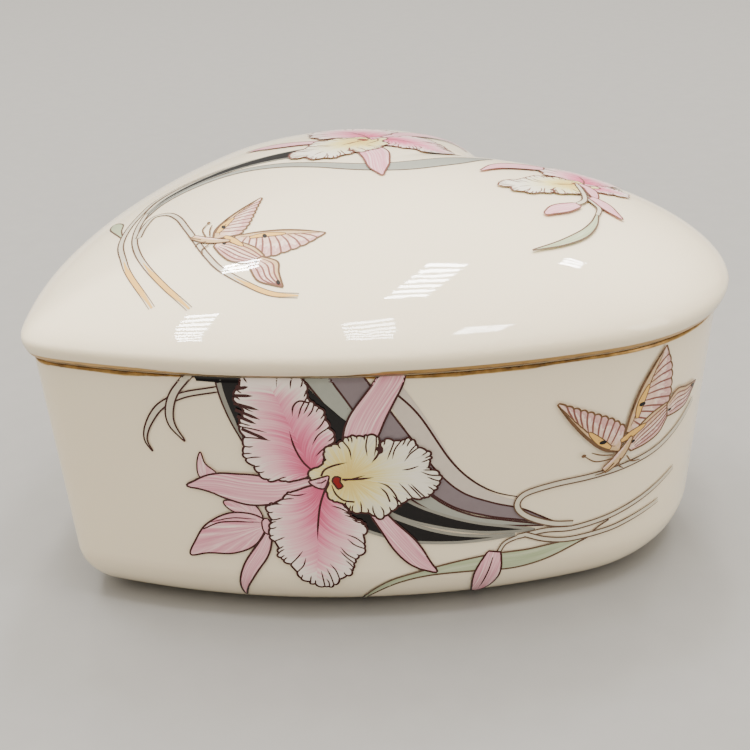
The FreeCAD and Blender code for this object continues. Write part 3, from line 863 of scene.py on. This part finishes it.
def base_print(decal):
    """The spray on the base."""
    # Long leaf bands, back to front.
    leaf(decal, "mist", [(50.6, 40), (53.6, 34.6), (57.8, 27), (61.2, 22.9), (64.8, 20.4),
                         (69.4, 18.8)], [1.3, 1.6, 1.6, 1.3, 1.0, 0.4], edge=None)
    decal.strokes(([(51.2, 38.9), (54.6, 34.9), (58.8, 27.6), (62, 23.8), (65.4, 21.4), (69.4, 19.9)],
                   0.32, (1, 0.4)))
    leaf(decal, "plum", [(43.2, 43), (47.4, 37), (51.4, 31), (55.6, 25), (59.8, 20.9), (64.6, 18.6),
                         (69.4, 17), (74.8, 14.6)], [2.4, 2.2, 2.0, 1.8, 1.4, 1.2, 1.0, 0.1], width=0.3)
    leaf(decal, "sage", [(39.8, 43), (43.6, 37), (47.4, 30.6), (52, 24.4), (57, 19.8), (62, 17.2),
                         (67, 15.9), (73, 14.6)], [1.5, 1.4, 1.3, 1.2, 1.1, 0.7, 0.5, 0.1], width=0.3)
    leaf(decal, "ebony", [(46, 25), (52, 20), (57.4, 17.4), (62.6, 15.7), (67, 14.8), (71.6, 14)],
         [2.2, 1.6, 1.25, 0.9, 0.6, 0.05], edge="sage_line", width=0.45)
    leaf(decal, "ebony", [(42.6, 21), (47.4, 18.2), (53, 15.7), (58.4, 14.3), (63.4, 13.7),
                          (68.6, 13.6)], [1.6, 1.9, 1.6, 0.9, 0.4, 0.05], edge="sage_line", width=0.5)
    black = [(27.4, 43), (27.9, 38.8), (28.9, 35), (30.3, 30.8), (33, 32), (38, 36), (38, 43)]
    decal.fill("ebony", smooth(black, closed=True))
    edge = [(27.4, 43), (27.9, 38.8), (28.9, 35), (30.3, 31.2)]
    decal.strokes((edge, 0.75, (1, 0.3)), ink="sage_line")
    decal.strokes(([(27, 43), (27.5, 38.8), (28.6, 34.8), (30.2, 31)], 0.26, (1, 1)))
    black = [(37.6, 42.4), (40.6, 38.8), (43.6, 35.6), (45.8, 33), (43.5, 30.5), (39, 34), (37, 38)]
    decal.fill("ebony", smooth(black, closed=True))
    decal.fill("ebony", [(23.8, 41.6), (24.6, 40.5), (28, 40.4), (28, 41.6)])
    # Curled leaves at the upper left.
    leaf(decal, "stem", [(27.4, 39.4), (22.4, 38.2), (18.9, 36.2), (16.7, 33.2), (15.9, 30.6),
                         (16.7, 28.7)], [0.4, 0.4, 0.45, 0.5, 0.35, 0.05], width=0.26)
    leaf(decal, "stem", [(24.2, 42), (21.4, 38.8), (20.2, 36), (20.2, 33.4), (21.8, 30.8)],
         [0.5, 0.5, 0.6, 0.55, 0.05], width=0.26)
    # The pale green leaf, a bud and its stem below the bloom.
    leaf(decal, "green", [(45.7, 0.6), (46.8, 3.9), (50.4, 6.9), (56, 8.5), (63, 9.2), (71, 9.3),
                          (80.4, 11.2)], [0.1, 0.5, 0.5, 1.1, 1.6, 1.2, 0.15], edge="stem_line")
    stem(decal, [(66.2, 10.8), (67.2, 12.4), (69.6, 13.3)], 0.6)
    stems(decal)
    leaf(decal, "sepal", [(65.6, 11.1), (65, 8.6), (64.2, 5.6), (63.6, 2.4), (64.3, 0.5)],
         [0.9, 2.0, 2.0, 0.9, 0.1], vein=True)
    half_open_bloom(decal)
    narrow_petals(decal)
    upper_petal(decal)
    lower_petal(decal)
    lip_and_throat(decal)
    butterfly(decal)


def lid_print(decal):
    """The sprays on the lid, in plan: the big bloom at -X, and a sprig on the near lobe."""
    leaf(decal, "sage", [(8.5, 29), (7.4, 21), (5, 13.4), (0, 8.2), (-7, 4.6), (-13.6, 1), (-18.8, -4),
                         (-21, -11), (-20, -17.6), (-15.6, -23.4)],
         [0.4, 2.3, 2.3, 1.6, 1.2, 1.1, 1.0, 0.9, 0.7, 0.1], edge="stem_line", width=0.3)
    bud = [(-21.3, -26.3), (-23.7, -24.4), (-20.2, -24.5), (-16.6, -26.6), (-12.5, -28.5),
           (-15.6, -27.9)]
    decal.shape("green", bud, edge="stem_line", width=0.26)
    for points in (
        [(-20, 5), (-24, -2), (-25.4, -9.5), (-24, -16), (-20.6, -20.6), (-15.5, -25.9), (-9.6, -30.3),
         (-3.2, -33.2), (2.5, -35.2), (11.3, -36.7)],
        [(-18.6, 4), (-22.4, -3), (-23.8, -10), (-22, -17), (-16, -23.2), (-9.5, -27.9), (-3.1, -30.9),
         (2.5, -32.5), (9, -33.2), (15.5, -33.2)],
        [(-8.7, -27.7), (-12.2, -24.8), (-14.7, -21.7), (-12.7, -20.2), (-8.5, -20.7), (-2.5, -22.6),
         (2.7, -24.1), (7.5, -25.2), (12, -25.7), (17.5, -25), (21.6, -23.7), (24.5, -21.3)],
    ):
        # The ends of the stems are touched in with gold.
        stem(decal, points, 0.85)
        path = smooth(points)
        decal.line("gold", path[int(len(path) * 0.78):], 0.7, (0.1, 0.4))
    leaf(decal, "ebony", [(-11, 13), (-17.4, 6), (-21.2, -1), (-22.6, -8), (-21.8, -15), (-18.4, -21)],
         [3.0, 2.5, 1.8, 1.1, 0.6, 0.05], edge="sage_line", width=0.45)
    decal.turn_to(BUTTERFLY, (5, -22.5), -21)
    butterfly(decal)
    # The big bloom, its upper petal smaller than on the base.
    bloom = ((-13, 19), -93)
    decal.turn_to(THROAT, *bloom)
    narrow_petals(decal)
    decal.turn_to(PETAL_ROOT, decal.flat(PETAL_ROOT), bloom[1], (0.85, 0.78))
    upper_petal(decal)
    decal.turn_to(THROAT, *bloom)
    lower_petal(decal)
    lip_and_throat(decal)
    decal.turn_to()
    # The sprig, with its own narrow petal, and only the bloom's near side.
    leaf(decal, "sepal", [(18.5, 34), (15.4, 29), (14.2, 25), (14.8, 20.8)], [0.8, 1.8, 1.4, 0.1],
         width=0.26)
    decal.turn_to(PETAL_ROOT, (26.6, 31.8), -58, (0.42, 0.38))
    upper_petal(decal)
    decal.turn_to(THROAT, (25.9, 30.8), -110, (0.9, 0.58))
    lower_petal(decal)
    lip_and_throat(decal)
    decal.turn_to()
    stem(decal, [(25.6, 31), (28.6, 29.4), (31.4, 27.6), (34.4, 26.6), (36.3, 24.2)], 0.7)
    stem(decal, [(26.2, 30.6), (29.6, 28.4), (31.6, 26.4), (32.3, 24)], 0.8)
    leaf(decal, "green", [(36.1, 24.4), (38, 21.6), (39.3, 18), (39.4, 13.6), (38.4, 9)],
         [0.2, 0.6, 0.8, 0.5, 0.05], edge="stem_line", width=0.24)
    for spine, widths in (
        ([(25.8, 31.4), (28, 31.2), (31.2, 29.2), (32, 28)], [0.3, 1.0, 0.8, 0.2]),
        ([(31, 28.4), (33, 28.4), (35.8, 27.8), (38.4, 27.4)], [0.5, 1.2, 0.9, 0.05]),
        ([(32.5, 24.2), (32.4, 21.8), (32.3, 19.6), (32.6, 17.2)], [0.6, 1.4, 1.3, 0.2]),
    ):
        leaf(decal, "sepal", spine, widths, width=0.26)


# ---- materials

PLAIN_INKS = {  # display colours of the inks that are even, apart from a fine grain
    "outline": (58, 26, 24), "soft_outline": (112, 72, 62), "ebony": (13, 10, 10),
    "mist": (196, 184, 172), "plum": (121, 109, 113), "sage": (150, 152, 142),
    "sage_line": (136, 134, 124), "stem": (202, 194, 174), "stem_line": (92, 70, 56),
    "wing_vein": (122, 76, 68), "wing_edge": (100, 72, 48), "throat": (128, 14, 12),
    "gold": (218, 172, 92),
}
PORCELAIN_DEEP = srgb(240, 224, 196)
PORCELAIN_PALE = srgb(248, 234, 205)


# Each drawn ink takes its shape's shading coordinates, and the depth in mm from its edge.


def plain_ink(paint, colour):
    grain = paint.noise(paint.coords(), scale=900.0, detail=2.0)
    paler = [min(255, channel * 1.12 + 6) for channel in colour]
    return paint.mix(paint.times(grain, 0.35), srgb(*colour), srgb(*paler))


def petal_ink(paint, share, bearing, depth):
    # Feathered strokes leave the midrib and curve out to the margin.
    turned = paint.math("ABSOLUTE", bearing)
    slant = paint.minus(share, paint.times(turned, 0.5))
    half = paint.times(paint.math("SIGN", bearing), 7.0)
    strokes = paint.streaks(paint.times(slant, 32.0), paint.times(share, 1.5), half, 3.0, 0.7)
    feather = paint.minus(strokes, 0.5)
    # Deep at the root and along the midrib, paler to the sides.
    offset = paint.times(paint.times(turned, share), 1.3)
    pale = paint.plus(paint.plus(paint.times(share, 0.6), offset), paint.times(feather, 0.9))
    body = paint.ramp(pale, (0.08, (206, 88, 124)), (0.3, (224, 128, 156)),
                      (0.55, (236, 180, 190)), (0.85, (240, 214, 210)))
    # The pale margin widens from nothing at the root to about 3 mm at the tip.
    inner = paint.minus(paint.times(depth, 0.33), paint.times(share, 1.25))
    kept = paint.plus(paint.plus(inner, 0.85), paint.times(feather, -2.6))
    return paint.mix(paint.ramp(kept, (0.1, 0.0), (0.8, 1.0)), srgb(242, 228, 220), body)


def sepal_ink(paint, along, across, depth):
    streak = paint.streaks(along, paint.times(across, 9.0), 0.0, 3.0, 0.6)
    return paint.ramp(streak, (0.34, (212, 134, 154)), (0.52, (230, 174, 184)),
                      (0.66, (245, 222, 217)))


def lip_ink(paint, share, bearing, depth):
    # Yellow at the throat, cream at the margin.
    streak = paint.streaks(paint.times(share, 1.2), paint.times(bearing, 20.0))
    pale = paint.plus(share, paint.times(paint.minus(streak, 0.5), 0.8))
    body = paint.ramp(pale, (0.05, (222, 192, 104)), (0.3, (232, 216, 140)),
                      (0.55, (236, 230, 196)), (0.8, (240, 234, 218)))
    # Thin grey lines run in from the margin.
    near = paint.ramp(paint.times(depth, 0.4), (0.0, 1.0), (1.0, 0.0))
    lines = paint.times(near, paint.ramp(streak, (0.52, 0.0), (0.64, 0.55)))
    return paint.mix(lines, body, srgb(186, 178, 160))


def wing_ink(paint, along, across, depth):
    # Tan by the leading edge, then pink with pale flecks, and a deeper band at the margin.
    fleck = paint.streaks(paint.times(along, 26.0), paint.times(across, 5.0), detail=3.0)
    band = paint.plus(across, paint.times(paint.minus(fleck, 0.5), 0.9))
    return paint.ramp(band, (0.1, (204, 172, 128)), (0.35, (220, 184, 166)),
                      (0.6, (238, 214, 200)), (0.78, (204, 156, 152)),
                      (1.0, (216, 176, 166)))


def green_ink(paint, along, across, depth):
    cloud = paint.streaks(paint.times(along, 3.0), paint.times(across, 3.0))
    return paint.ramp(cloud, (0.3, (158, 172, 134)), (0.7, (192, 199, 168)))


DRAWN_INKS = {"petal": petal_ink, "sepal": sepal_ink, "lip": lip_ink, "wing": wing_ink,
              "green": green_ink}


def ink_materials():
    made = {}
    for ink in (*PLAIN_INKS, *DRAWN_INKS):
        paint = Paint(f"ink_{ink}")
        if ink in DRAWN_INKS:
            colour = DRAWN_INKS[ink](paint, *paint.art())
        else:
            colour = plain_ink(paint, PLAIN_INKS[ink])
        paint.set({"Base Color": colour})
        paint.glaze(INK_GLAZE_INDEX)
        made[ink] = paint.material
    return made


def glazed_porcelain():
    body = Paint("glazed_porcelain")
    mottle = body.noise(body.coords(), scale=40.0, detail=4.0)
    body.set({"Base Color": body.mix(mottle, PORCELAIN_DEEP, PORCELAIN_PALE),
              "Subsurface Weight": 0.15, "Subsurface Scale": 0.004,
              "Subsurface Radius": (1.0, 0.8, 0.6)})
    body.glaze(GLAZE_INDEX)
    body.bump(body.noise(body.coords(), scale=60.0), strength=0.06, distance=0.0006)
    return body.material


def worn_gilt_shaded_at_seam(name, seam, reach):
    """Gilding that lasts beside the seam, at height seam in m, and wears away by a reach in mm; right
    at the seam its gold is painted dark brown as shade.
    """
    gilt = Paint(name)
    side, _, height = gilt.split(gilt.coords())
    away = gilt.times(gilt.math("ABSOLUTE", gilt.minus(height, seam)), 1 / MM)
    # It lasts best near the tip and round the lobes, and least over the flowers.
    place = gilt.plus(gilt.times(gilt.math("ABSOLUTE", side), 10.0), 0.2)
    lasting = gilt.ramp(place, (0.32, 1.0), (0.42, 0.35), (0.54, 0.35), (0.62, 1.0))
    patches = gilt.streaks(gilt.times(side, 130.0), gilt.times(away, 0.5), 0.0, 4.0, 0.65)
    width = gilt.times(lasting, gilt.times(patches, 2 * reach))
    kept = gilt.ramp(gilt.minus(width, away), (0.0, 0.0), (0.12, 1.0))
    # Painted shade: the gold darkens to brown right at the seam, standing in for the shadow between lid
    # and base; fine noise varies it.
    seam_shade_and_grain = gilt.plus(away, gilt.noise(gilt.coords(), scale=500.0, detail=3.0))
    gold_shaded_at_seam = gilt.ramp(seam_shade_and_grain, (0.45, (80, 58, 36)), (0.72, (144, 108, 58)),
                       (1.0, (196, 156, 94)))
    gilt.set({"Base Color": gilt.mix(kept, PORCELAIN_DEEP, gold_shaded_at_seam),
              "Metallic": gilt.times(kept, 0.8), "Roughness": 0.3})
    return gilt.material


def finish_cad_nodes():
    porcelain = glazed_porcelain()
    for name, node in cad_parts.items():
        heights = [vertex.co.z for vertex in node.data.vertices]
        if name == "lid_gilt_band":
            finish = worn_gilt_shaded_at_seam("lid_gilding", min(heights), 1.25)
        elif name == "box_gilt_band":
            finish = worn_gilt_shaded_at_seam("base_gilding", max(heights), 0.6)
        else:
            finish = porcelain
        node.data.materials.clear()
        node.data.materials.append(finish)


finish_cad_nodes()
inks = ink_materials()
wall = Decal(base_surface(), "base_print", "base", "porcelain_base", WALL_LIMIT)
base_print(wall)
wall.build(inks)
crown = Decal(lid_surface(), "lid_print", "cover", "porcelain_lid")
lid_print(crown)
crown.build({**inks, "outline": inks["soft_outline"]})
add_floor()
add_sky()
add_lights()
add_camera()
